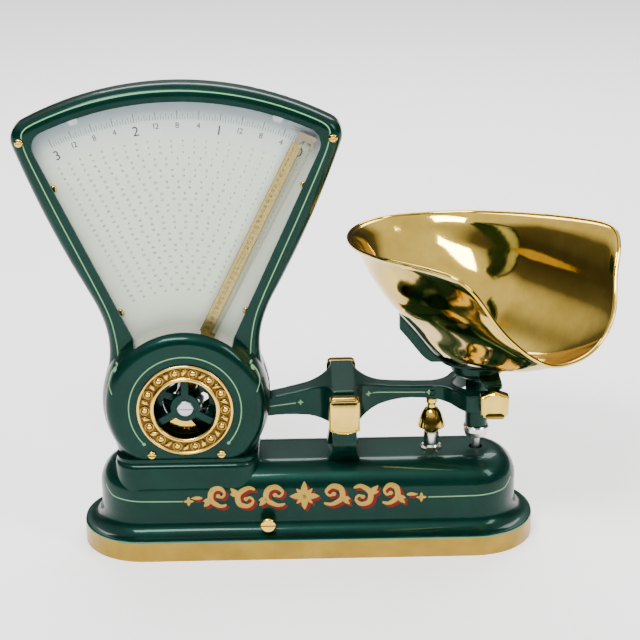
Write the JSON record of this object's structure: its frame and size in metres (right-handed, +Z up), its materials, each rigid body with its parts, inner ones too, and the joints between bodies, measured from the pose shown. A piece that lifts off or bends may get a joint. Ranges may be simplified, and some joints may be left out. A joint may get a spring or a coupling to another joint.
{
  "type": "counter scale",
  "caption": "Antique counter scale: fan dial on a drum, a swinging index, a main lever and a loose brass scoop on a pan holder.",
  "frame": {"origin": "middle of the base's underside, on the surface it stands on", "axes": "+X towards the scoop, +Y towards the customer's side, +Z up; the shopkeeper's side is -Y"},
  "size_m": [0.5101, 0.2372, 0.4133],
  "materials": {
    "enamel": "gloss dark green enamel over cast iron",
    "brass": "polished",
    "printed_chart": "matt cream print",
    "glass": "clear",
    "index_plate": "satin gold",
    "steel": "satin",
    "nickel": "bright nickel plate",
    "dark_iron": "matt"
  },
  "bodies": {
    "stand": {"base": "enamel", "base_plate": "dark_iron", "housing_frame": "enamel", "cover_front": "enamel", "cover_rear": "enamel", "chart_front": "printed_chart", "chart_rear": "printed_chart", "chart_screws_front": "brass", "chart_screws_rear": "brass", "window_glass_front": "glass", "window_glass_rear": "glass", "glass_clips_front": "steel", "glass_clips_rear": "steel", "cover_screws_front": "brass", "cover_screws_rear": "brass", "bezel_ring_front": "brass", "bezel_ring_rear": "brass", "bearing_spider_front": "enamel", "bearing_spider_rear": "enamel", "pivot_screw_front": "steel", "pivot_screw_rear": "steel", "fulcrum_post_front": "enamel", "fulcrum_post_rear": "enamel", "fulcrum_cap_front": "brass", "fulcrum_cap_rear": "brass", "fulcrum_bearings": "steel", "check_bracket": "dark_iron", "bracket_pin": "steel", "damper_neck": "nickel", "damper_cylinder": "dark_iron"},
    "main_lever": {"lever": "enamel", "fulcrum_knives": "steel", "load_knives": "steel", "nose_pin": "steel", "damper_pin": "steel"},
    "link": {"draw_link": "steel"},
    "pendulum": {"pendulum_shaft": "steel", "pendulum_wheel": "enamel", "pendulum_weight": "brass", "crank_pin": "steel", "index_front": "index_plate", "index_rear": "index_plate"},
    "pan": {"pan_holder": "enamel", "scoop_cradle": "enamel", "load_bearings": "steel", "stem_collar": "nickel", "check_rod": "steel", "rod_pin": "steel", "load_cap_front": "brass", "load_cap_rear": "brass"},
    "parallel_link": {"check_link": "dark_iron"},
    "dashpot": {"damper_rod": "steel", "damper_piston": "brass", "damper_bell": "brass"},
    "loose_scoop": {"scoop": "brass"},
    "front_screw": {"adjusting_screw": "brass"}
  },
  "joints": [
    {"name": "lever_tilt", "type": "hinge", "parent": "stand", "child": "main_lever", "pos_m": [0.0311, 0, 0.134], "axis": [0, 1, 0], "range_deg": [0, 4]},
    {"name": "link_swing", "type": "hinge", "parent": "main_lever", "child": "link", "pos_m": [-0.0949, 0, 0.10991], "axis": [0, 1, 0], "range_deg": [-4, 0]},
    {"name": "pendulum_turn", "type": "hinge", "parent": "stand", "child": "pendulum", "pos_m": [-0.1054, 0, 0.1343], "axis": [0, -1, 0], "range_deg": [0, 49.2]},
    {"name": "pan_level", "type": "hinge", "parent": "main_lever", "child": "pan", "pos_m": [0.1595, 0, 0.141], "axis": [0, 1, 0], "range_deg": [-4, 0]},
    {"name": "parallel_swing", "type": "hinge", "parent": "stand", "child": "parallel_link", "pos_m": [0.0206, 0, 0.023], "axis": [0, 1, 0], "range_deg": [0, 4]},
    {"name": "dashpot_swing", "type": "hinge", "parent": "main_lever", "child": "dashpot", "pos_m": [0.1095, 0, 0.134], "axis": [0, 1, 0], "range_deg": [-4, 0]},
    {"name": "scoop_lift", "type": "slide", "parent": "pan", "child": "loose_scoop", "axis": [0, 0, 1], "range_m": [0, 0.12]},
    {"name": "screw_turn", "type": "hinge", "parent": "stand", "child": "front_screw", "pos_m": [-0.036, -0.045, 0.0305], "axis": [0, -1, 0], "continuous": true}
  ],
  "couplings": [
    {"joint": "link_swing", "follows": "lever_tilt", "ratio": -1},
    {"joint": "pendulum_turn", "follows": "lever_tilt", "ratio": 12.3},
    {"joint": "pan_level", "follows": "lever_tilt", "ratio": -1},
    {"joint": "parallel_swing", "follows": "lever_tilt", "ratio": 1},
    {"joint": "dashpot_swing", "follows": "lever_tilt", "ratio": -1}
  ]
}
